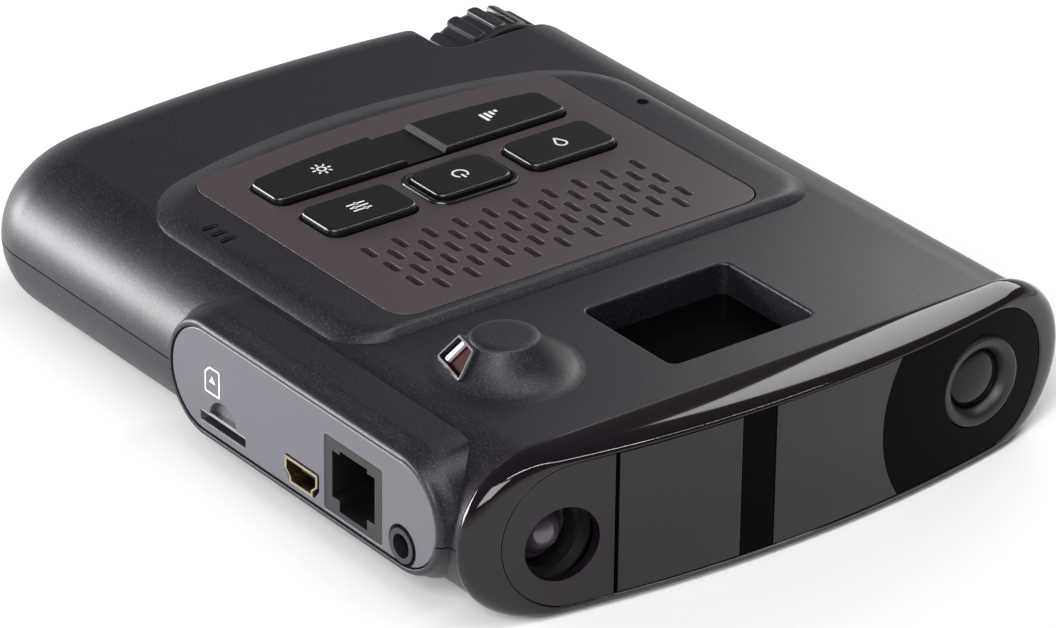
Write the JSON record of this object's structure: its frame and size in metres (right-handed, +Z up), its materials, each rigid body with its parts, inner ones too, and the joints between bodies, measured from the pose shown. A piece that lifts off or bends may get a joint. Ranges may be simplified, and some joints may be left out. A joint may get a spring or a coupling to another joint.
{
  "type": "radar detector",
  "caption": "In-vehicle radar and laser detector with a rounded glossy nose and camera, top keys and speaker grille, side sockets and a rear volume knob.",
  "frame": {"origin": "centre of the flat underside", "axes": "+Z up, -Y the road-facing nose, +Y the driver's side, -X the side with the sockets"},
  "size_m": [0.1075, 0.1381, 0.0292],
  "materials": {
    "shell_satin": "spark-eroded satin moulding",
    "nose_gloss": "polished moulding",
    "window_gloss": "polished infrared-pass acrylic",
    "panel_satin": "fine satin moulding",
    "key_black": "semi-gloss moulding",
    "port_satin": "fine satin moulding",
    "socket_black": "moulded",
    "knob_satin": "satin moulding",
    "lens_glass": "coated and polished",
    "sensor_window": "polished red infrared-pass acrylic",
    "steel": "plated",
    "nickel": "nickel plated",
    "contact_gold": "gold flash",
    "board_green": "solder mask",
    "chassis_black": "moulded",
    "silicone": "moulded",
    "paper_cone": "pressed paper",
    "cloth": "woven",
    "cast_zinc": "cast",
    "patch_ceramic": "fired ceramic"
  },
  "bodies": {
    "root": {"upper_shell": "shell_satin", "lower_shell": "shell_satin", "front_bezel": "nose_gloss", "laser_plate": "window_gloss", "radar_window": "window_gloss", "camera_plate": "window_gloss", "laser_lens": "lens_glass", "laser_holder": "chassis_black", "laser_sensor": "board_green", "camera_ring": "knob_satin", "camera_lens": "lens_glass", "camera_barrel": "chassis_black", "camera_board": "board_green", "control_panel": "panel_satin", "keypad_mat": "silicone", "tact_switches": "steel", "control_board": "board_green", "rocker_pin": "steel", "speaker_frame": "chassis_black", "speaker_cone": "paper_cone", "speaker_magnet": "steel", "speaker_cloth": "cloth", "dome_window": "sensor_window", "dome_sensor": "board_green", "dock_plate": "window_gloss", "microphone": "steel", "port_plate": "port_satin", "card_socket": "steel", "usb_socket": "nickel", "usb_tongue": "socket_black", "power_jack": "socket_black", "jack_contacts": "contact_gold", "audio_socket": "socket_black", "audio_ring": "nickel", "port_board": "board_green", "display_window": "window_gloss", "display_module": "board_green", "main_board": "board_green", "radar_horn": "cast_zinc", "rf_shield": "steel", "gps_antenna": "patch_ceramic", "backup_cell": "chassis_black", "encoder_body": "cast_zinc", "shell_screws": "steel", "board_screws": "steel"},
    "rocker": {"rocker_key": "key_black"},
    "power": {"power_key": "key_black"},
    "program": {"program_key": "key_black"},
    "mark": {"mark_key": "key_black"},
    "volume": {"volume_knob": "knob_satin", "knob_shaft": "steel"}
  },
  "joints": [
    {"name": "rocker_tilt", "type": "hinge", "parent": "root", "child": "rocker", "pos_m": [-0.001, 0.0269, 0.0224], "axis": [0, 1, 0], "range_deg": [-2.2, 2.2], "stiffness_Nm_per_rad": 0.15},
    {"name": "power_press", "type": "slide", "parent": "root", "child": "power", "axis": [0, 0, -1], "range_m": [0, 0.0007], "stiffness_N_per_m": 1200},
    {"name": "program_press", "type": "slide", "parent": "root", "child": "program", "axis": [0, 0, -1], "range_m": [0, 0.0007], "stiffness_N_per_m": 1200},
    {"name": "mark_press", "type": "slide", "parent": "root", "child": "mark", "axis": [0, 0, -1], "range_m": [0, 0.0007], "stiffness_N_per_m": 1200},
    {"name": "volume_turn", "type": "hinge", "parent": "root", "child": "volume", "pos_m": [0.0386, 0.0603, 0.012], "axis": [0, 1, 0], "continuous": true}
  ]
}
